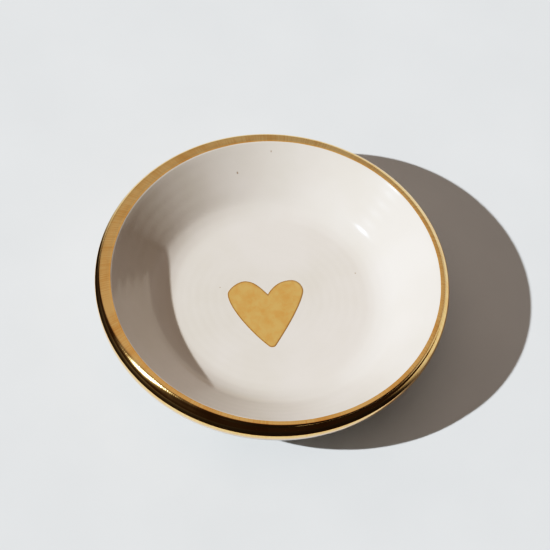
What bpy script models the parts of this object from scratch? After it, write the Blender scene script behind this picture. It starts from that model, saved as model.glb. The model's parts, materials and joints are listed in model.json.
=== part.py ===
"""A shallow round ceramic ring dish with a lustre band round its lip and a lustre heart on its floor.

Metres, +Z up. The origin is the middle of the foot, on the surface that the dish stands on.
The heart's tip points to -Y. Every turned piece is one closed outline, spun round the Z axis.
"""

from math import acos, cos, pi, radians, sin, tan

import bmesh
import bpy

# Lip: an outer roll, a flatter top, a tight inner shoulder and a fuller belly underneath
RIM_RADIUS = 0.0480         # the roll's widest line
WIDEST_HEIGHT = 0.01725     # height of that widest line
ROLL_RADIUS = 0.0035
TOP_RADIUS = 0.0050
SHOULDER_RADIUS = 0.0008
BELLY_RADIUS = 0.0077
TOP_START = radians(73)     # the lip's crest, where the shoulder hands over to the top
ROLL_START = radians(45)    # where the top hands over to the roll
ROLL_END = 0.0              # the widest line, where the roll hands over to the belly
BELLY_END = radians(-48)    # where the outer wall begins

# Inside of the dish
FLOOR_HEIGHT = 0.0080
FLOOR_FILLET = 0.0120       # round corner between the floor and the wall
WALL_SLOPE = radians(43)

# Foot and outer wall
FOOT_RADIUS = 0.0270        # outer radius of the foot ring
FOOT_WIDTH = 0.0036         # bare clay ring that stands on the table
FOOT_RECESS = 0.0024        # depth of the recess inside the foot ring
FOOT_CHAMFER = 0.0004       # worn edges of the foot
FOOT_TOP = 0.0034           # where the glazed outer wall ends above the foot
FOOT_EASE = 0.0080          # how far out from the foot the outer wall runs nearly level
WALL_EASE = 0.0070          # how far down from the lip the outer wall keeps its slope

# Layers, each one a real coat on the clay
GAP = 0.0003                # between one layer and the next
GLAZE_THICKNESS = 0.0004    # glass coat
LUSTRE_THICKNESS = 0.00025  # gold, made thick enough to be a solid
BAND_END = radians(-12)     # the band runs from the crest to just under the widest line
GLAZE_INSET = LUSTRE_THICKNESS + GAP
CLAY_INSET = GLAZE_INSET + GLAZE_THICKNESS + GAP

# Heart, painted by hand, so its left lobe is a little fuller and squarer than its right
HEART_HALF_WIDTH = 0.01035
HEART_LENGTH = 0.0214       # from the tip to the tops of the lobes
HEART_TIP = (-0.0006, -0.0152)  # where the tip lies on the floor
HEART_START = (0.09, 0.025)  # right end of the blunt tip
HEART_CURVES = (            # two handles and an end each, in half widths across and lengths up
    ((0.41, 0.26), (0.86, 0.62), (0.94, 0.82)),      # right side
    ((0.96, 0.90), (0.82, 1.00), (0.64, 0.995)),     # right lobe
    ((0.33, 0.995), (0.125, 0.90), (0.0, 0.79)),     # down to the notch
    ((-0.12, 0.855), (-0.31, 1.00), (-0.58, 1.00)),  # up from the notch
    ((-0.75, 1.00), (-1.02, 0.905), (-1.06, 0.82)),  # left lobe
    ((-1.09, 0.635), (-0.54, 0.235), (-0.09, 0.025)),  # left side
    ((-0.05, 0.0), (0.05, 0.0), (0.09, 0.025)),      # blunt tip
)

# Facets
TURN_STEPS = 48
FILLET_STEPS = 4
SHOULDER_STEPS = 3
TOP_STEPS = 4
ROLL_STEPS = 4
BELLY_STEPS = 4
OUTER_STEPS = 5
HEART_STEPS = 5


def bezier(start, first, second, end, steps):
    """Points along one cubic curve, without its start."""
    points = []
    for step in range(1, steps + 1):
        t = step / steps
        u = 1 - t
        weights = (u ** 3, 3 * u * u * t, 3 * u * t * t, t ** 3)
        handles = (start, first, second, end)
        x = sum(weight * handle[0] for weight, handle in zip(weights, handles))
        y = sum(weight * handle[1] for weight, handle in zip(weights, handles))
        points.append((x, y))
    return points


def arc(centre, radius, start, end, steps):
    """Points round a circle from one angle to another, both ends included."""
    points = []
    for step in range(steps + 1):
        angle = start + (end - start) * step / steps
        points.append((centre[0] + radius * cos(angle), centre[1] + radius * sin(angle)))
    return points


def next_centre(centre, radius, angle, following):
    """Centre of the circle that takes over from this one at this angle, without a corner."""
    reach = radius - following
    return (centre[0] + reach * cos(angle), centre[1] + reach * sin(angle))


ROLL_CENTRE = (RIM_RADIUS - ROLL_RADIUS, WIDEST_HEIGHT)
TOP_CENTRE = next_centre(ROLL_CENTRE, ROLL_RADIUS, ROLL_START, TOP_RADIUS)
SHOULDER_CENTRE = next_centre(TOP_CENTRE, TOP_RADIUS, TOP_START, SHOULDER_RADIUS)
BELLY_CENTRE = next_centre(ROLL_CENTRE, ROLL_RADIUS, ROLL_END, BELLY_RADIUS)
WALL_NORMAL = WALL_SLOPE + pi / 2


def inside(inset):
    """The floor, its round corner and the straight wall, up to the lip's inner shoulder."""
    wall_top = arc(SHOULDER_CENTRE, SHOULDER_RADIUS, WALL_NORMAL, WALL_NORMAL, 1)[0]
    corner = wall_top[0] - (wall_top[1] - FLOOR_HEIGHT) / tan(WALL_SLOPE)
    fillet_centre = (corner - FLOOR_FILLET * tan(WALL_SLOPE / 2), FLOOR_HEIGHT + FLOOR_FILLET)
    wall_facing = WALL_NORMAL - pi
    fillet = arc(fillet_centre, FLOOR_FILLET + inset, -pi / 2, wall_facing, FILLET_STEPS)
    return [(0.0, FLOOR_HEIGHT - inset)] + fillet


def shoulder(inset):
    """The inner shoulder; a deep inset leaves its arc no radius, so it meets in a corner."""
    if inset < SHOULDER_RADIUS:
        radius = SHOULDER_RADIUS - inset
        return arc(SHOULDER_CENTRE, radius, WALL_NORMAL, TOP_START, SHOULDER_STEPS)
    return [wall_meets_top(inset)]


def wall_meets_top(inset):
    """Where the inset wall line crosses the inset top arc, found along the top arc."""
    wall_line = (
        SHOULDER_CENTRE[0] * cos(WALL_NORMAL)
        + SHOULDER_CENTRE[1] * sin(WALL_NORMAL)
        + SHOULDER_RADIUS
        - inset
    )
    reach = (
        wall_line - TOP_CENTRE[0] * cos(WALL_NORMAL) - TOP_CENTRE[1] * sin(WALL_NORMAL)
    )
    angle = WALL_NORMAL - acos(reach / (TOP_RADIUS - inset))
    return arc(TOP_CENTRE, TOP_RADIUS - inset, angle, angle, 1)[0]


def lip(inset):
    """The shoulder, the top, the roll and the belly underneath."""
    crest = shoulder(inset)
    top = arc(TOP_CENTRE, TOP_RADIUS - inset, TOP_START, ROLL_START, TOP_STEPS)
    roll = arc(ROLL_CENTRE, ROLL_RADIUS - inset, ROLL_START, ROLL_END, ROLL_STEPS)
    belly = arc(BELLY_CENTRE, BELLY_RADIUS - inset, ROLL_END, BELLY_END, BELLY_STEPS)
    return crest + top[1:] + roll[1:] + belly[1:]


def dish_outline(inset, foot_gap=0.0):
    """The dish's section from the middle of the floor, over the lip and down to the foot.

    The whole section lies this far inside the visible outline, so two outlines of
    different inset are the two faces of one coat.
    """
    over_lip = lip(inset)
    wall_top = over_lip[-1]
    wall_foot = (FOOT_RADIUS + foot_gap, FOOT_TOP + inset)
    upper = (wall_top[0] + WALL_EASE * sin(BELLY_END), wall_top[1] - WALL_EASE * cos(BELLY_END))
    lower = (wall_foot[0] + FOOT_EASE, wall_foot[1])
    outer_wall = bezier(wall_top, upper, lower, wall_foot, OUTER_STEPS)
    return inside(inset) + over_lip + outer_wall


def turned(name, outline):
    """Spins a closed outline, listed with the solid on its right hand, round the Z axis."""
    mesh = bpy.data.meshes.new(name)
    bm = bmesh.new()
    corners = [bm.verts.new((r, 0.0, z)) for r, z in outline]
    for index, corner in enumerate(corners):
        following = corners[(index + 1) % len(corners)]
        on_axis = corner.co.x == 0.0 and following.co.x == 0.0
        if not on_axis:
            bm.edges.new((corner, following))
    bmesh.ops.spin(
        bm,
        geom=bm.verts[:] + bm.edges[:],
        cent=(0, 0, 0),
        axis=(0, 0, 1),
        angle=2 * pi,
        steps=TURN_STEPS,
        use_merge=True,
    )
    bmesh.ops.remove_doubles(bm, verts=bm.verts[:], dist=1e-6)
    bmesh.ops.recalc_face_normals(bm, faces=bm.faces[:])
    bm.to_mesh(mesh)
    bm.free()
    return finished(name, mesh)


def finished(name, mesh):
    """Shades a mesh smooth, keeps its real edges sharp and makes it an object."""
    mesh.shade_smooth()
    mesh.set_sharp_from_angle(angle=radians(35))
    piece = bpy.data.objects.new(name, mesh)
    bpy.context.scene.collection.objects.link(piece)
    return piece


def painted(piece, name, colour, roughness, metallic):
    """Gives a piece its own plain material."""
    material = bpy.data.materials.new(name)
    material.use_nodes = True
    shader = material.node_tree.nodes["Principled BSDF"]
    shader.inputs["Base Color"].default_value = (*colour, 1.0)
    shader.inputs["Roughness"].default_value = roughness
    shader.inputs["Metallic"].default_value = metallic
    piece.data.materials.append(material)


def clay_body():
    """Fired clay: the wall under the glaze, and a trimmed foot ring with worn edges."""
    wall = dish_outline(CLAY_INSET)
    inner_radius = FOOT_RADIUS - FOOT_WIDTH
    foot = [
        (FOOT_RADIUS, FOOT_CHAMFER),
        (FOOT_RADIUS - FOOT_CHAMFER, 0.0),
        (inner_radius + FOOT_CHAMFER, 0.0),
        (inner_radius, FOOT_CHAMFER),
        (inner_radius, FOOT_RECESS),
        (0.0, FOOT_RECESS),
    ]
    piece = turned("clay_body", wall + foot)
    painted(piece, "bare_clay", (0.78, 0.70, 0.60), 0.85, 0.0)


def glaze_coat():
    """Glass coat over the whole dish, inside and outside, down to the top of the foot."""
    upper_face = dish_outline(GLAZE_INSET, GAP)
    lower_face = dish_outline(GLAZE_INSET + GLAZE_THICKNESS, GAP)
    piece = turned("glaze_coat", upper_face + lower_face[::-1])
    painted(piece, "glaze", (0.86, 0.83, 0.78), 0.12, 0.0)


def base_glaze():
    """Separate patch of glaze on the roof of the recess inside the foot ring."""
    radius = FOOT_RADIUS - FOOT_WIDTH - GAP
    top = FOOT_RECESS - GAP
    bottom = top - GLAZE_THICKNESS
    piece = turned("base_glaze", [(0.0, top), (radius, top), (radius, bottom), (0.0, bottom)])
    painted(piece, "glaze_patch", (0.86, 0.83, 0.78), 0.12, 0.0)


def band_face(inset):
    """The band's section: the top, the whole roll and the start of the belly."""
    top = arc(TOP_CENTRE, TOP_RADIUS - inset, TOP_START, ROLL_START, TOP_STEPS)
    roll = arc(ROLL_CENTRE, ROLL_RADIUS - inset, ROLL_START, ROLL_END, ROLL_STEPS)
    belly = arc(BELLY_CENTRE, BELLY_RADIUS - inset, ROLL_END, BAND_END, 1)
    return top + roll[1:] + belly[1:]


def rim_gold_band():
    """Lustre band over the lip, from its crest to just under its widest line."""
    outer_face = band_face(0.0)
    inner_face = band_face(LUSTRE_THICKNESS)
    piece = turned("rim_gold_band", outer_face + inner_face[::-1])
    painted(piece, "rim_lustre", (0.60, 0.36, 0.11), 0.12, 1.0)


def heart_outline():
    """The heart's corners on the floor, anticlockwise from the right end of its tip."""
    def placed(share):
        return (
            HEART_TIP[0] + share[0] * HEART_HALF_WIDTH,
            HEART_TIP[1] + share[1] * HEART_LENGTH,
        )

    start = placed(HEART_START)
    points = []
    for first, second, end in HEART_CURVES:
        points += bezier(start, placed(first), placed(second), placed(end), HEART_STEPS)
        start = points[-1]
    return points


def heart_gold():
    """Lustre heart, one flat coat on the level middle of the floor."""
    mesh = bpy.data.meshes.new("heart_gold")
    bm = bmesh.new()
    low = FLOOR_HEIGHT - LUSTRE_THICKNESS
    face = bm.faces.new([bm.verts.new((x, y, low)) for x, y in heart_outline()])
    raised = bmesh.ops.extrude_face_region(bm, geom=[face])["geom"]
    top = [item for item in raised if isinstance(item, bmesh.types.BMVert)]
    bmesh.ops.translate(bm, verts=top, vec=(0.0, 0.0, LUSTRE_THICKNESS))
    bmesh.ops.recalc_face_normals(bm, faces=bm.faces[:])
    bm.to_mesh(mesh)
    bm.free()
    piece = finished("heart_gold", mesh)
    painted(piece, "heart_lustre", (0.55, 0.33, 0.09), 0.32, 1.0)


for old in list(bpy.data.objects):
    bpy.data.objects.remove(old, do_unlink=True)

clay_body()
glaze_coat()
base_glaze()
rim_gold_band()
heart_gold()
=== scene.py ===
import json
import math

import bpy
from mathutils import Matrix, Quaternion, Vector


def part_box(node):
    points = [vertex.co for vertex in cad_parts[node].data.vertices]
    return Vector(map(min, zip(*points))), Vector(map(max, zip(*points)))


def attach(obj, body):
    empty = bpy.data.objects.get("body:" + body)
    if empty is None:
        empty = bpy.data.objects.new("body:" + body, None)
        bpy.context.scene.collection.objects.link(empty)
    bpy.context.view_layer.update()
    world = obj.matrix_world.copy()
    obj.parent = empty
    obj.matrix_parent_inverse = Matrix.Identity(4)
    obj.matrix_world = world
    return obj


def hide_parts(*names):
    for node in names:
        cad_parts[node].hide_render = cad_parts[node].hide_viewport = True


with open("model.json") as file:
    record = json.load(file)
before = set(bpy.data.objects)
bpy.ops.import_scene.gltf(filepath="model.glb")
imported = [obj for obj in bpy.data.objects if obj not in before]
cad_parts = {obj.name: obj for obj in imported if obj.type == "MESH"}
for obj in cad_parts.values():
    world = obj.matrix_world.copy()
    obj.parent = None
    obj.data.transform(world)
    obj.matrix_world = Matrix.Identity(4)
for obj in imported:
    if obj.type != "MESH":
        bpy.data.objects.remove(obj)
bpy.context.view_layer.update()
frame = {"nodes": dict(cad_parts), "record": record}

mm = 0.001
mergeDistance = 0.002 * mm
waveSpacing = math.tau / 20  # how far apart a wave texture's bands lie at scale 1
print("frame loaded:", ", ".join(sorted(frame["nodes"])))


def deselectAll():
    if bpy.context.object and bpy.context.object.mode != "OBJECT":
        bpy.ops.object.mode_set(mode="OBJECT")
    bpy.ops.object.select_all(action="DESELECT")


def makeActive(piece):
    deselectAll()
    piece.select_set(True)
    bpy.context.view_layer.objects.active = piece


def hexToLinear(code):
    channels = [int(code[i:i + 2], 16) / 255 for i in (1, 3, 5)]
    linear = [c / 12.92 if c <= 0.04045 else ((c + 0.055) / 1.055) ** 2.4 for c in channels]
    return (*linear, 1.0)


def addNode(tree, kind, settings=None, inputs=None, stops=None):
    # settings are the node's own options, an input is a value or (node, output)
    node = tree.nodes.new("ShaderNode" + kind)
    for name, value in (settings or {}).items():
        setattr(node, name, value)
    for name, value in (inputs or {}).items():
        if isinstance(value, tuple) and isinstance(value[0], bpy.types.Node):
            tree.links.new(value[0].outputs[value[1]], node.inputs[name])
        else:
            node.inputs[name].default_value = value
    for index, (place, colour) in enumerate(stops or []):
        ramp = node.color_ramp.elements
        stop = ramp[index] if index < 2 else ramp.new(place)
        stop.position = place
        stop.color = colour
    return node


def patternScale(size):
    # the scale that makes a noise texture's patches about this many millimetres across
    return 1 / (size * mm)


def newMaterial(name):
    material = bpy.data.materials.new(name)
    material.use_nodes = True
    material.node_tree.nodes.clear()
    return material, material.node_tree


def applyModifier(piece, kind, name, settings):
    makeActive(piece)
    modifier = piece.modifiers.new(name, kind)
    for setting, value in settings.items():
        setattr(modifier, setting, value)
    bpy.ops.object.modifier_apply(modifier=modifier.name)


def arcPoints(centre, radius, start, end, steps):
    # points round an arc, angles in degrees
    points = []
    for step in range(steps + 1):
        angle = math.radians(start + (end - start) * step / steps)
        points.append((centre[0] + radius * math.cos(angle), centre[1] + radius * math.sin(angle)))
    return points


def curvePoints(start, first, second, end, steps):
    # points along a cubic curve, without its start
    points = []
    for step in range(1, steps + 1):
        t = step / steps
        weights = ((1 - t) ** 3, 3 * (1 - t) ** 2 * t, 3 * (1 - t) * t ** 2, t ** 3)
        points.append(tuple(
            sum(w * handle[axis] for w, handle in zip(weights, (start, first, second, end)))
            for axis in (0, 1)
        ))
    return points


def moveInside(outline, distance):
    # the same outline, this far to the right of its own direction of travel
    moved = []
    for index, (r, z) in enumerate(outline):
        before = outline[max(index - 1, 0)]
        after = outline[min(index + 1, len(outline) - 1)]
        dr, dz = after[0] - before[0], after[1] - before[1]
        length = math.hypot(dr, dz)
        moved.append((r + distance * dz / length, z - distance * dr / length))
    return moved


def turnOutline(name, outline, steps, closed=False):
    # draws the outline from a single vertex, then spins it round the turning axis
    deselectAll()
    bpy.ops.mesh.primitive_plane_add(size=mm, location=(outline[0][0], 0, outline[0][1]))
    piece = bpy.context.object
    piece.name = piece.data.name = name
    bpy.ops.object.mode_set(mode="EDIT")
    bpy.ops.mesh.merge(type="CENTER")
    route = outline + outline[:1] if closed else outline
    for here, there in zip(route, route[1:]):
        step = (there[0] - here[0], 0, there[1] - here[1])
        bpy.ops.mesh.extrude_region_move(TRANSFORM_OT_translate={"value": step})
    bpy.ops.mesh.select_all(action="SELECT")
    bpy.ops.mesh.spin(steps=steps, angle=math.tau, center=(0, 0, 0), axis=(0, 0, 1))
    bpy.ops.mesh.select_all(action="SELECT")
    bpy.ops.mesh.remove_doubles(threshold=mergeDistance)
    bpy.ops.mesh.normals_make_consistent(inside=False)
    bpy.ops.object.mode_set(mode="OBJECT")
    bpy.ops.object.transform_apply(location=True, rotation=True, scale=True)
    return piece


def smoothShade(piece, angle):
    makeActive(piece)
    bpy.ops.object.shade_smooth_by_angle(angle=math.radians(angle), keep_sharp_edges=False)


def finishPiece(piece, material, node):
    piece.data.materials.clear()
    piece.data.materials.append(material)
    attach(piece, "root")
    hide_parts(node)
    print("made", piece.name, len(piece.data.polygons), "faces")


# the dish's outline, from the middle of the floor over the lip to the foot; angles in degrees
dish = {
    "rimRadius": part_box("rim_gold_band")[1].x,
    "rimTop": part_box("rim_gold_band")[1].z,
    "floorHeight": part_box("heart_gold")[1].z,
    "widestHeight": 17.25 * mm,
    "rollRadius": 3.5 * mm,
    "topRadius": 5.0 * mm,
    "shoulderRadius": 0.8 * mm,
    "bellyRadius": 7.7 * mm,
    "floorFillet": 12.0 * mm,
    "wallSlope": 43,
    "topStart": 73,
    "rollStart": 45,
    "rollEnd": 0,
    "bellyEnd": -48,
    "footTop": 3.4 * mm,
    "footWidth": 3.6 * mm,
    "footRecess": 2.4 * mm,
    "footEase": 8.0 * mm,
    "wallEase": 7.0 * mm,
    "turnSteps": 256,
    "smoothAngle": 40,
    "steps": {
        "floor": 10, "fillet": 14, "wall": 12, "shoulder": 10,
        "top": 12, "roll": 12, "belly": 16, "outerWall": 18,
    },
}
dish["footRadius"] = frame["record"]["mounts"][0]["pos_m"][0] + dish["footWidth"] / 2
dish["rollCentre"] = (dish["rimRadius"] - dish["rollRadius"], dish["widestHeight"])


def nextCentre(centre, radius, angle, following):
    # centre of the circle that takes over from this one at that angle, without a corner
    return arcPoints(centre, radius - following, angle, angle, 1)[0]


def lipOutline():
    # from the inner shoulder over the crest and the roll to the belly underneath
    topCentre = nextCentre(
        dish["rollCentre"], dish["rollRadius"], dish["rollStart"], dish["topRadius"]
    )
    shoulderCentre = nextCentre(
        topCentre, dish["topRadius"], dish["topStart"], dish["shoulderRadius"]
    )
    bellyCentre = nextCentre(
        dish["rollCentre"], dish["rollRadius"], dish["rollEnd"], dish["bellyRadius"]
    )
    wallFacing = dish["wallSlope"] + 90
    steps = dish["steps"]
    shoulder = arcPoints(
        shoulderCentre, dish["shoulderRadius"], wallFacing, dish["topStart"], steps["shoulder"]
    )
    top = arcPoints(
        topCentre, dish["topRadius"], dish["topStart"], dish["rollStart"], steps["top"]
    )
    roll = arcPoints(
        dish["rollCentre"], dish["rollRadius"], dish["rollStart"], dish["rollEnd"], steps["roll"]
    )
    belly = arcPoints(
        bellyCentre, dish["bellyRadius"], dish["rollEnd"], dish["bellyEnd"], steps["belly"]
    )
    return shoulder, top[1:] + roll[1:], belly[1:]


def insideOutline(wallTop):
    # the level floor, its round corner and the straight wall
    slope = math.radians(dish["wallSlope"])
    corner = wallTop[0] - (wallTop[1] - dish["floorHeight"]) / math.tan(slope)
    filletCentre = (
        corner - dish["floorFillet"] * math.tan(slope / 2),
        dish["floorHeight"] + dish["floorFillet"],
    )
    steps = dish["steps"]
    fillet = arcPoints(
        filletCentre, dish["floorFillet"], -90, dish["wallSlope"] - 90, steps["fillet"]
    )
    floor = [
        (fillet[0][0] * step / steps["floor"], dish["floorHeight"])
        for step in range(steps["floor"])
    ]
    start = fillet[-1]
    wall = []
    for step in range(1, steps["wall"]):
        share = step / steps["wall"]
        wall.append(tuple(
            start[axis] + (wallTop[axis] - start[axis]) * share for axis in (0, 1)
        ))
    return floor + fillet + wall


def outerOutline(wallTop):
    turn = math.radians(dish["bellyEnd"])
    wallFoot = (dish["footRadius"], dish["footTop"])
    upper = (
        wallTop[0] + dish["wallEase"] * math.sin(turn),
        wallTop[1] - dish["wallEase"] * math.cos(turn),
    )
    lower = (wallFoot[0] + dish["footEase"], wallFoot[1])
    return curvePoints(wallTop, upper, lower, wallFoot, dish["steps"]["outerWall"])


# the hollow's shift, and where it fades out: round the lip and behind the wall, by the angle
# about the roll's centre, and down through the floor, by height
hollow = {
    "shift": (0.70 * mm, -0.90 * mm),
    "lipFade": (46, 74),
    "wallFade": (214, 226),
    "floorFade": (4.5 * mm, 7.0 * mm),
}


def easeBetween(ends, value):
    share = min(max((value - ends[0]) / (ends[1] - ends[0]), 0.0), 1.0)
    return share * share * (3 - 2 * share)


def nudgeHollow(piece):
    # formed by hand: the hollow and its edge lie a little off the outer wall's centre
    for vertex in piece.data.vertices:
        x, y, z = vertex.co
        out = math.hypot(x, y) - dish["rollCentre"][0]
        angle = math.degrees(math.atan2(z - dish["rollCentre"][1], out)) % 360
        share = (
            easeBetween(hollow["lipFade"], angle)
            * (1 - easeBetween(hollow["wallFade"], angle))
            * easeBetween(hollow["floorFade"], z)
        )
        vertex.co.x += hollow["shift"][0] * share
        vertex.co.y += hollow["shift"][1] * share


shoulder, roll, belly = lipOutline()
floorAndWall = insideOutline(shoulder[0])
dishOutline = floorAndWall + shoulder + roll + belly + outerOutline(belly[-1])
print("outline drawn:", len(dishOutline), "points")


clayLook = {
    "buff": "#C9B193",
    "pale": "#D9C5A9",
    "grit": "#B49C7E",
    "clean": "#FFFFFF",
    "gritSize": 1.111,
    "patchSize": 11.11,
    "roughness": 0.88,
    "relief": 0.1,
}


def gritClay():
    # stoneware bisque, sponged at the foot: dry, sandy and matt, with dark grit.
    # Real grit is a few tenths of a millimetre across and wouldn't show, so it is drawn coarser.
    material, tree = newMaterial("stonewareClaySponged")
    coords = addNode(tree, "TexCoord")
    grit = addNode(tree, "TexNoise", None, {
        "Vector": (coords, "Object"), "Scale": patternScale(clayLook["gritSize"]), "Detail": 3,
    })
    patches = addNode(tree, "TexNoise", None, {
        "Vector": (coords, "Object"), "Scale": patternScale(clayLook["patchSize"]), "Detail": 2,
    })
    tone = addNode(tree, "ValToRGB", None, {"Fac": (patches, "Fac")}, [
        (0.3, hexToLinear(clayLook["buff"])), (0.7, hexToLinear(clayLook["pale"])),
    ])
    dark = addNode(tree, "ValToRGB", None, {"Fac": (grit, "Fac")}, [
        (0.30, hexToLinear(clayLook["grit"])), (0.42, hexToLinear(clayLook["clean"])),
    ])
    colour = addNode(tree, "Mix", {"data_type": "RGBA", "blend_type": "MULTIPLY"}, {
        0: 1.0, 6: (tone, "Color"), 7: (dark, "Color"),
    })
    bump = addNode(tree, "Bump", None, {
        "Height": (grit, "Fac"), "Strength": 0.5, "Distance": clayLook["relief"] * mm,
    })
    shader = addNode(tree, "BsdfPrincipled", None, {
        "Base Color": (colour, 2), "Roughness": clayLook["roughness"], "Normal": (bump, "Normal"),
    })
    addNode(tree, "OutputMaterial", None, {"Surface": (shader, "BSDF")})
    return material


# specks are given as x, y and radius, and all sizes here are in millimetres
glazeLook = {
    "milk": "#CCC2B8",
    "cream": "#C6BCB0",
    "speck": "#8A7460",
    "specks": [(-6.9, 37.0, 0.22), (2.6, 41.5, 0.16), (-13.5, 4.5, 0.14), (24.0, 7.7, 0.16)],
    "speckEdge": (0.05, 0.25),
    "speckRagged": 0.25,
    "speckStrength": 0.85,
    "raggedSize": 0.3846,
    "cloudSize": 18.18,
    "rippleSize": 3.846,
    "throwingPitch": 2.4,
    "ringRelief": 0.03,
    "rippleRelief": 0.05,
    "roughness": (0.07, 0.12),
    "ior": 1.52,
}


def dippedGlaze():
    # tin-white glaze, dipped and fired: a warm gloss over faint throwing rings, with a few iron
    # specks burnt through
    material, tree = newMaterial("whiteGlazeDipped")
    coords = addNode(tree, "TexCoord")
    clouds = addNode(tree, "TexNoise", None, {
        "Vector": (coords, "Object"), "Scale": patternScale(glazeLook["cloudSize"]), "Detail": 3,
    })
    tone = addNode(tree, "ValToRGB", None, {"Fac": (clouds, "Fac")}, [
        (0.35, hexToLinear(glazeLook["cream"])), (0.65, hexToLinear(glazeLook["milk"])),
    ])
    colour = (tone, "Color")
    ragged = addNode(tree, "TexNoise", None, {
        "Vector": (coords, "Object"), "Scale": patternScale(glazeLook["raggedSize"]), "Detail": 1,
    })
    flat = addNode(tree, "VectorMath", {"operation": "MULTIPLY"}, {
        0: (coords, "Object"), 1: (1, 1, 0),
    })
    for x, y, radius in glazeLook["specks"]:
        away = addNode(tree, "VectorMath", {"operation": "DISTANCE"}, {
            0: (flat, "Vector"), 1: (x * mm, y * mm, 0),
        })
        rough = addNode(tree, "Math", {"operation": "MULTIPLY_ADD"}, {
            0: (ragged, "Fac"), 1: glazeLook["speckRagged"] * mm, 2: (away, "Value"),
        })
        spot = addNode(tree, "MapRange", {"interpolation_type": "SMOOTHSTEP"}, {
            "Value": (rough, "Value"), "From Min": (radius + glazeLook["speckEdge"][0]) * mm,
            "From Max": (radius + glazeLook["speckEdge"][1]) * mm,
            "To Min": glazeLook["speckStrength"], "To Max": 0.0,
        })
        mixed = addNode(tree, "Mix", {"data_type": "RGBA"}, {
            0: (spot, "Result"), 6: colour, 7: hexToLinear(glazeLook["speck"]),
        })
        colour = (mixed, 2)
    rings = addNode(tree, "TexWave", {
        "wave_type": "RINGS", "rings_direction": "Z", "wave_profile": "SIN",
    }, {
        "Vector": (coords, "Object"), "Scale": waveSpacing / (glazeLook["throwingPitch"] * mm),
        "Distortion": 1.2, "Detail": 1, "Detail Scale": 0.6,
    })
    ripple = addNode(tree, "TexNoise", None, {
        "Vector": (coords, "Object"), "Scale": patternScale(glazeLook["rippleSize"]), "Detail": 1,
    })
    ringBump = addNode(tree, "Bump", None, {
        "Height": (rings, "Fac"), "Strength": 0.35, "Distance": glazeLook["ringRelief"] * mm,
    })
    bump = addNode(tree, "Bump", None, {
        "Height": (ripple, "Fac"), "Strength": 0.4, "Distance": glazeLook["rippleRelief"] * mm,
        "Normal": (ringBump, "Normal"),
    })
    sheen = addNode(tree, "MapRange", None, {
        "Value": (clouds, "Fac"),
        "To Min": glazeLook["roughness"][0], "To Max": glazeLook["roughness"][1],
    })
    shader = addNode(tree, "BsdfPrincipled", None, {
        "Base Color": colour, "Roughness": (sheen, "Result"), "IOR": glazeLook["ior"],
        "Normal": (bump, "Normal"),
    })
    addNode(tree, "OutputMaterial", None, {"Surface": (shader, "BSDF")})
    return material


glaze = dippedGlaze()
print("glaze mixed")

# the glaze lies a film's depth under the outline, so that the gold can lie on it
coat = {
    "film": 0.05 * mm,
    "thickness": 0.40 * mm,
    "clayGap": 0.02 * mm,
    "patchGap": 0.2 * mm,
    "patchSteps": 128,
    "patchEdgeSteps": 6,
    "footEdge": 0.5 * mm,
    "footEdgeSteps": 5,
}


def makeGlazeCoat():
    outer = moveInside(dishOutline, coat["film"])
    inner = moveInside(dishOutline, coat["film"] + coat["thickness"])
    piece = turnOutline("glazeCoat", outer + inner[::-1], dish["turnSteps"])
    nudgeHollow(piece)
    smoothShade(piece, dish["smoothAngle"])
    finishPiece(piece, glaze, "glaze_coat")


def makeClayBody():
    clay = moveInside(dishOutline, coat["film"] + coat["thickness"] + coat["clayGap"])
    footInner = dish["footRadius"] - dish["footWidth"]
    edge = coat["footEdge"]
    steps = coat["footEdgeSteps"]
    outside = arcPoints((dish["footRadius"] - edge, edge), edge, 0, -90, steps)
    inside = arcPoints((footInner + edge, edge), edge, -90, -180, steps)
    recess = [(footInner, dish["footRecess"]), (0.0, dish["footRecess"])]
    piece = turnOutline("clayBody", clay + outside + inside + recess, dish["turnSteps"])
    nudgeHollow(piece)
    smoothShade(piece, dish["smoothAngle"])
    finishPiece(piece, gritClay(), "clay_body")


def makeBaseGlaze():
    # a pooled patch inside the foot ring, with a rounded edge
    radius = dish["footRadius"] - dish["footWidth"] - coat["patchGap"]
    top = dish["footRecess"] - coat["clayGap"]
    thick = coat["thickness"]
    edge = arcPoints(
        (radius - thick / 2, top - thick / 2), thick / 2, 90, -90, coat["patchEdgeSteps"]
    )
    outline = [(0.0, top)] + edge + [(0.0, top - thick)]
    piece = turnOutline("baseGlaze", outline, coat["patchSteps"])
    smoothShade(piece, dish["smoothAngle"])
    finishPiece(piece, glaze, "base_glaze")


makeClayBody()
makeGlazeCoat()
makeBaseGlaze()


# innerEdge is a radius about the hollow's middle, lowerEdge a height from the widest line
rimPaint = {
    "thickness": 0.03 * mm,
    "innerEdge": 44.5 * mm,
    "lowerEdge": -1.8 * mm,
    "wobble": 0.25 * mm,
    "wobbleSize": 9 * mm,
    "wallPoints": 6,
    "bellyPoints": 6,
    "innerCutHeight": 20 * mm,
    "innerCutSides": 360,
    "lowerCutSpan": 2.4,
    "lowerCutSteps": 90,
    "lowerCutDepth": 6 * mm,
    "smoothAngle": 50,
}


# sizes here are in millimetres
lustreLook = {
    "gold": "#FFD696",
    "thin": "#F3BE78",
    # pale and the height below it are a painted reflection: the bright floor as the lip's lower
    # edge mirrors it
    "pale": "#F4D0AE",
    "paleReflectionHeight": 1.3,
    "strokePitch": 0.35,
    "strokeRelief": 0.03,
    "poolSize": 6.25,
    "roughness": (0.06, 0.16),
}


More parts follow.
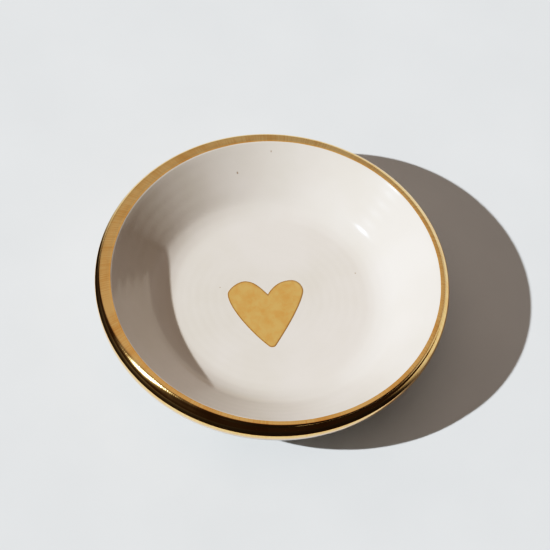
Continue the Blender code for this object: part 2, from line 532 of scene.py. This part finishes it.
def brushedLustre():
    # bright gold lustre, brushed across the lip and fired on the glaze: mirror-like with fine
    # strokes, drawn coarser than the hairs of a real brush would leave them
    material, tree = newMaterial("goldLustreBrushedRim")
    coords = addNode(tree, "TexCoord")
    flat = addNode(tree, "VectorMath", {"operation": "MULTIPLY"}, {
        0: (coords, "Object"), 1: (1, 1, 0),
    })
    aim = addNode(tree, "VectorMath", {"operation": "NORMALIZE"}, {0: (flat, "Vector")})
    # one unit of this direction is a rim radius, so it is scaled by how many strokes fit in one
    across = addNode(tree, "VectorMath", {"operation": "SCALE"}, {
        0: (aim, "Vector"), "Scale": dish["rimRadius"] / (lustreLook["strokePitch"] * mm),
    })
    strokes = addNode(tree, "TexNoise", None, {
        "Vector": (across, "Vector"), "Scale": 1.0, "Detail": 2, "Roughness": 0.6,
    })
    pools = addNode(tree, "TexNoise", None, {
        "Vector": (coords, "Object"), "Scale": patternScale(lustreLook["poolSize"]), "Detail": 2,
    })
    blend = addNode(tree, "Math", {"operation": "MULTIPLY"}, {
        0: (strokes, "Fac"), 1: (pools, "Fac"),
    })
    tone = addNode(tree, "ValToRGB", None, {"Fac": (blend, "Value")}, [
        (0.12, hexToLinear(lustreLook["thin"])), (0.30, hexToLinear(lustreLook["gold"])),
    ])
    # painted reflection: the gold is mixed to a pale peach over its lowest millimetres, standing
    # in for the bright floor it mirrors there
    parts = addNode(tree, "SeparateXYZ", None, {0: (coords, "Object")})
    lowest = dish["rollCentre"][1] + rimPaint["lowerEdge"]
    paleReflectionShare = addNode(tree, "MapRange", {"interpolation_type": "SMOOTHSTEP"}, {
        "Value": (parts, "Z"), "From Min": lowest,
        "From Max": lowest + lustreLook["paleReflectionHeight"] * mm, "To Min": 1.0, "To Max": 0.0,
    })
    colour = addNode(tree, "Mix", {"data_type": "RGBA"}, {
        0: (paleReflectionShare, "Result"), 6: (tone, "Color"), 7: hexToLinear(lustreLook["pale"]),
    })
    bump = addNode(tree, "Bump", None, {
        "Height": (strokes, "Fac"), "Strength": 0.6, "Distance": lustreLook["strokeRelief"] * mm,
    })
    rough = addNode(tree, "MapRange", None, {
        "Value": (pools, "Fac"),
        "To Min": lustreLook["roughness"][0], "To Max": lustreLook["roughness"][1],
    })
    shader = addNode(tree, "BsdfPrincipled", None, {
        "Base Color": (colour, 2), "Metallic": 1.0, "Roughness": (rough, "Result"),
        "Normal": (bump, "Normal"),
    })
    addNode(tree, "OutputMaterial", None, {"Surface": (shader, "BSDF")})
    return material


def cutAway(piece, cutter):
    applyModifier(piece, "BOOLEAN", "paintedEdge", {
        "operation": "DIFFERENCE", "solver": "EXACT", "object": cutter,
    })
    bpy.data.objects.remove(cutter, do_unlink=True)


handWobble = bpy.data.textures.new("handWobble", "CLOUDS")
handWobble.noise_scale = rimPaint["wobbleSize"]
handWobble.noise_depth = 1


def wobblyCutter(cutter):
    # a brush never follows an edge exactly, so what trims the gold is slightly uneven
    applyModifier(cutter, "DISPLACE", "brushWander", {
        "texture": handWobble, "texture_coords": "GLOBAL",
        "strength": rimPaint["wobble"], "mid_level": 0.5,
    })
    return cutter


def makeRimLustre():
    wall = floorAndWall[-rimPaint["wallPoints"]:]
    face = wall + shoulder + roll + belly[:rimPaint["bellyPoints"]]
    inner = moveInside(face, rimPaint["thickness"])
    piece = turnOutline("rimLustre", face + inner[::-1], dish["turnSteps"], closed=True)
    nudgeHollow(piece)
    deselectAll()
    bpy.ops.mesh.primitive_cylinder_add(
        vertices=rimPaint["innerCutSides"], radius=rimPaint["innerEdge"],
        depth=rimPaint["innerCutHeight"], location=(*hollow["shift"], dish["rimTop"]),
    )
    cutAway(piece, wobblyCutter(bpy.context.object))
    deselectAll()
    bpy.ops.mesh.primitive_grid_add(
        x_subdivisions=rimPaint["lowerCutSteps"], y_subdivisions=rimPaint["lowerCutSteps"],
        size=rimPaint["lowerCutSpan"] * dish["rimRadius"],
        location=(0, 0, dish["rollCentre"][1] + rimPaint["lowerEdge"]),
    )
    below = bpy.context.object
    bpy.ops.object.transform_apply(location=True)
    applyModifier(below, "SOLIDIFY", "depth", {
        "thickness": rimPaint["lowerCutDepth"], "offset": -1.0,
    })
    cutAway(piece, wobblyCutter(below))
    smoothShade(piece, rimPaint["smoothAngle"])
    finishPiece(piece, brushedLustre(), "rim_gold_band")


makeRimLustre()

# start and sides are shares of halfWidth and length, measured from the tip
heart = {
    "halfWidth": 10.35 * mm,
    "length": 21.4 * mm,
    "tip": (-0.6 * mm, -15.2 * mm),
    "start": (0.09, 0.025),
    "sides": [
        ((0.41, 0.26), (0.86, 0.62), (0.94, 0.82)),
        ((0.96, 0.90), (0.82, 1.0), (0.64, 0.995)),
        ((0.33, 0.995), (0.125, 0.90), (0, 0.79)),
        ((-0.12, 0.855), (-0.31, 1.0), (-0.58, 1.0)),
        ((-0.75, 1.0), (-1.02, 0.905), (-1.06, 0.82)),
        ((-1.09, 0.635), (-0.54, 0.235), (-0.09, 0.025)),
        ((-0.05, 0.0), (0.05, 0.0), (0.09, 0.025)),
    ],
    "sideSteps": 14,
    "thickness": 0.06 * mm,
    "glazeGap": 0.01 * mm,
    "smoothAngle": 40,
}

# sizes here are in millimetres
heartLook = {
    "gold": "#FFDA92",
    "thin": "#FFCE82",
    "edge": "#B88A54",
    "edgeWidth": 0.45,
    "daubSize": 2.381,
    "daubRelief": 0.05,
    "roughness": (0.34, 0.5),
}


def daubedLustre():
    # satin gold lustre, daubed on with a small brush: mottled, with a darker brown line along its
    # edge
    material, tree = newMaterial("goldLustreDaubedHeart")
    coords = addNode(tree, "TexCoord")
    daubs = addNode(tree, "TexNoise", None, {
        "Vector": (coords, "Object"), "Scale": patternScale(heartLook["daubSize"]),
        "Detail": 4, "Roughness": 0.6, "Distortion": 0.4,
    })
    tone = addNode(tree, "ValToRGB", None, {"Fac": (daubs, "Fac")}, [
        (0.36, hexToLinear(heartLook["thin"])), (0.62, hexToLinear(heartLook["gold"])),
    ])
    inner = addNode(tree, "Attribute", {"attribute_name": "fromEdge"})
    darkEdgeLine = addNode(tree, "Mix", {"data_type": "RGBA"}, {
        0: (inner, "Fac"), 6: hexToLinear(heartLook["edge"]), 7: (tone, "Color"),
    })
    bump = addNode(tree, "Bump", None, {
        "Height": (daubs, "Fac"), "Strength": 0.35, "Distance": heartLook["daubRelief"] * mm,
    })
    rough = addNode(tree, "MapRange", None, {
        "Value": (daubs, "Fac"),
        "To Min": heartLook["roughness"][0], "To Max": heartLook["roughness"][1],
    })
    shader = addNode(tree, "BsdfPrincipled", None, {
        "Base Color": (darkEdgeLine, 2), "Metallic": 1.0, "Roughness": (rough, "Result"),
        "Normal": (bump, "Normal"),
    })
    addNode(tree, "OutputMaterial", None, {"Surface": (shader, "BSDF")})
    return material


def makeHeart():
    def placed(share):
        return (
            heart["tip"][0] + share[0] * heart["halfWidth"],
            heart["tip"][1] + share[1] * heart["length"],
        )

    outline = [placed(heart["start"])]
    for first, second, end in heart["sides"]:
        outline += curvePoints(
            outline[-1], placed(first), placed(second), placed(end), heart["sideSteps"]
        )
    outline.pop()
    deselectAll()
    height = dish["floorHeight"] - coat["film"] + heart["glazeGap"]
    bpy.ops.mesh.primitive_plane_add(size=mm, location=(*outline[0], height))
    piece = bpy.context.object
    piece.name = piece.data.name = "heartLustre"
    bpy.ops.object.mode_set(mode="EDIT")
    bpy.ops.mesh.merge(type="CENTER")
    for here, there in zip(outline, outline[1:]):
        step = (there[0] - here[0], there[1] - here[1], 0)
        bpy.ops.mesh.extrude_region_move(TRANSFORM_OT_translate={"value": step})
    bpy.ops.mesh.select_all(action="SELECT")
    bpy.ops.mesh.edge_face_add()
    bpy.ops.mesh.normals_make_consistent(inside=False)
    bpy.ops.mesh.inset(thickness=heartLook["edgeWidth"] * mm, depth=0.0)
    bpy.ops.object.mode_set(mode="OBJECT")
    bpy.ops.object.transform_apply(location=True)
    return piece


def finishHeart(piece):
    mesh = piece.data
    if mesh.polygons[0].normal.z < 0:
        mesh.flip_normals()
    # the dark edge line needs to know which points lie on the heart's edge
    counts = {}
    for face in mesh.polygons:
        for key in face.edge_keys:
            counts[key] = counts.get(key, 0) + 1
    border = {v for key, uses in counts.items() if uses == 1 for v in key}
    fromEdge = mesh.attributes.new("fromEdge", "FLOAT", "POINT")
    for v in mesh.vertices:
        fromEdge.data[v.index].value = 0.0 if v.index in border else 1.0
    applyModifier(piece, "SOLIDIFY", "paintThickness", {
        "thickness": heart["thickness"], "offset": 1.0,
    })
    smoothShade(piece, heart["smoothAngle"])
    finishPiece(piece, daubedLustre(), "heart_gold")


finishHeart(makeHeart())


studio = {
    "span": 6.0,
    "grey": "#CCCDCD",
    "pale": "#D1D2D2",
    "grainSize": 33.33,
    "roughness": 0.7,
}


def paleFloor():
    material, tree = newMaterial("paleStudioFloor")
    coords = addNode(tree, "TexCoord")
    grain = addNode(tree, "TexNoise", None, {
        "Vector": (coords, "Object"), "Scale": patternScale(studio["grainSize"]), "Detail": 4,
    })
    tone = addNode(tree, "ValToRGB", None, {"Fac": (grain, "Fac")}, [
        (0.3, hexToLinear(studio["grey"])), (0.7, hexToLinear(studio["pale"])),
    ])
    shader = addNode(tree, "BsdfPrincipled", None, {
        "Base Color": (tone, "Color"), "Roughness": studio["roughness"],
    })
    addNode(tree, "OutputMaterial", None, {"Surface": (shader, "BSDF")})
    return material


deselectAll()
bpy.ops.mesh.primitive_plane_add(size=studio["span"], location=(0, 0, 0))
studioFloor = bpy.context.object
studioFloor.name = "studioFloor"
studioFloor.data.materials.append(paleFloor())

card = {
    "innerRadius": 61 * mm,
    "outerRadius": 6000 * mm,
    "height": 0.3 * mm,
    "azimuth": -33,
    "fadeFrom": -0.4,
    "fadeTo": 0.1,
    "sides": 96,
    "colour": "#1C1715",
    "roughness": 0.9,
    "specular": 0.1,
}


def makeDarkCard():
    # a dark ring on the floor that only reflections see, so the lip's front mirrors dark;
    # it fades out round the sides, where the gold mirrors the bright floor instead
    deselectAll()
    bpy.ops.mesh.primitive_circle_add(
        vertices=card["sides"], radius=card["innerRadius"], location=(0, 0, card["height"])
    )
    piece = bpy.context.object
    piece.name = "reflectionCard"
    bpy.ops.object.mode_set(mode="EDIT")
    bpy.ops.mesh.select_all(action="SELECT")
    bpy.ops.mesh.extrude_region_move()
    grow = card["outerRadius"] / card["innerRadius"]
    bpy.ops.transform.resize(value=(grow, grow, 1))
    bpy.ops.object.mode_set(mode="OBJECT")
    bpy.ops.object.transform_apply(location=True)
    material, tree = newMaterial("matteBlackCard")
    coords = addNode(tree, "TexCoord")
    flat = addNode(tree, "VectorMath", {"operation": "MULTIPLY"}, {
        0: (coords, "Object"), 1: (1, 1, 0),
    })
    aim = addNode(tree, "VectorMath", {"operation": "NORMALIZE"}, {0: (flat, "Vector")})
    side = addNode(tree, "VectorMath", {"operation": "DOT_PRODUCT"}, {
        0: (aim, "Vector"), 1: tuple(towards(card["azimuth"], 0)),
    })
    cover = addNode(tree, "MapRange", {"interpolation_type": "SMOOTHSTEP"}, {
        "Value": (side, "Value"), "From Min": card["fadeFrom"], "From Max": card["fadeTo"],
    })
    dark = addNode(tree, "BsdfPrincipled", None, {
        "Base Color": hexToLinear(card["colour"]), "Roughness": card["roughness"],
        "Specular IOR Level": card["specular"],
    })
    clear = addNode(tree, "BsdfTransparent")
    mixed = addNode(tree, "MixShader", None, {
        0: (cover, "Result"), 1: (clear, "BSDF"), 2: (dark, "BSDF"),
    })
    addNode(tree, "OutputMaterial", None, {"Surface": (mixed, "Shader")})
    piece.data.materials.append(material)
    piece.visible_camera = False
    piece.visible_diffuse = False
    piece.visible_transmission = False
    piece.visible_shadow = False


shot = {
    "azimuth": -9.59,
    "elevation": 57.39,
    "roll": 6.27,
    "distance": 801.5 * mm,
    "aim": (2.69 * mm, 12.97 * mm, 0),
    "lens": 188.95,
    "sensor": 36,
}


def towards(azimuth, elevation):
    # unit vector out to that side: azimuth 0 is the front, 90 the right
    a, e = math.radians(azimuth), math.radians(elevation)
    return Vector((math.sin(a) * math.cos(e), -math.cos(a) * math.cos(e), math.sin(e)))


makeDarkCard()
camera = bpy.data.objects.new("camera", bpy.data.cameras.new("camera"))
bpy.context.scene.collection.objects.link(camera)
back = towards(shot["azimuth"], shot["elevation"])
camera.location = Vector(shot["aim"]) + back * shot["distance"]
camera.rotation_mode = "QUATERNION"
camera.rotation_quaternion = (
    (-back).to_track_quat("-Z", "Y") @ Quaternion((0, 0, 1), math.radians(shot["roll"]))
)
camera.data.lens = shot["lens"]
camera.data.sensor_width = shot["sensor"]
bpy.context.scene.camera = camera

lights = {
    "sunAzimuth": -77.2,
    "sunElevation": 36.55,
    "sunStrength": 5.5,
    "sunAngle": 1.0,
    "sunColour": "#F1F9FF",
    "skyAzimuth": 165,
    "skyElevation": 50,
    "skyFrom": 0.38,
    "skyTo": 0.56,
    "lowSky": "#9C9C9E",
    "highSky": "#BAADA2",
    "darkRoom": "#30271F",
    "backdrop": "#D9D9D8",
}

sun = bpy.data.objects.new("keyLight", bpy.data.lights.new("keyLight", "SUN"))
bpy.context.scene.collection.objects.link(sun)
sun.rotation_mode = "QUATERNION"
sunSide = towards(lights["sunAzimuth"], lights["sunElevation"])
sun.rotation_quaternion = (-sunSide).to_track_quat("-Z", "Y")
sun.data.energy = lights["sunStrength"]
sun.data.angle = math.radians(lights["sunAngle"])
sun.data.color = hexToLinear(lights["sunColour"])[:3]


def studioWorld():
    # a bright ceiling and back, and a dark side behind the camera that the gold mirrors
    world = bpy.data.worlds.new("studioWorld")
    bpy.context.scene.world = world
    world.use_nodes = True
    tree = world.node_tree
    tree.nodes.clear()
    coords = addNode(tree, "TexCoord")
    parts = addNode(tree, "SeparateXYZ", None, {0: (coords, "Generated")})
    side = addNode(tree, "VectorMath", {"operation": "DOT_PRODUCT"}, {
        0: (coords, "Generated"), 1: tuple(towards(lights["skyAzimuth"], lights["skyElevation"])),
    })
    skyShare = addNode(tree, "MapRange", {"interpolation_type": "SMOOTHSTEP"}, {
        "Value": (side, "Value"), "From Min": lights["skyFrom"], "From Max": lights["skyTo"],
    })
    sky = addNode(tree, "ValToRGB", None, {"Fac": (parts, "Z")}, [
        (0.2, hexToLinear(lights["lowSky"])), (0.9, hexToLinear(lights["highSky"])),
    ])
    shade = addNode(tree, "Mix", {"data_type": "RGBA"}, {
        0: (skyShare, "Result"), 6: hexToLinear(lights["darkRoom"]), 7: (sky, "Color"),
    })
    seen = addNode(tree, "LightPath")
    lit = addNode(tree, "Mix", {"data_type": "RGBA"}, {
        0: (seen, "Is Camera Ray"), 6: (shade, 2), 7: hexToLinear(lights["backdrop"]),
    })
    glow = addNode(tree, "Background", None, {"Color": (lit, 2), "Strength": 1.0})
    addNode(tree, "OutputWorld", None, {"Surface": (glow, "Background")})


cameraLook = {
    "contrast": 1.4,
    "white": 0.8,
    "brightest": 2.0,
    "points": 12,
}


def cameraTone():
    # a camera's tone: deep shadows, soft highlights, and paper white stays paper white
    view = bpy.context.scene.view_settings
    view.view_transform = "Standard"
    view.use_curve_mapping = True
    mapping = view.curve_mapping
    mapping.white_level = (cameraLook["brightest"],) * 3
    strength = -math.log(1 - cameraLook["white"]) / cameraLook["white"] ** cameraLook["contrast"]
    # the fourth curve acts on all three channels together
    curve = mapping.curves[3]
    for step in range(cameraLook["points"] + 1):
        share = (step / cameraLook["points"]) ** 2
        light = share * cameraLook["brightest"]
        shown = 1 - math.exp(-strength * light ** cameraLook["contrast"])
        if step in (0, cameraLook["points"]):
            curve.points[0 if step == 0 else -1].location = (share, shown)
        else:
            curve.points.new(share, shown)
    mapping.update()


studioWorld()
cameraTone()
print("stage set")
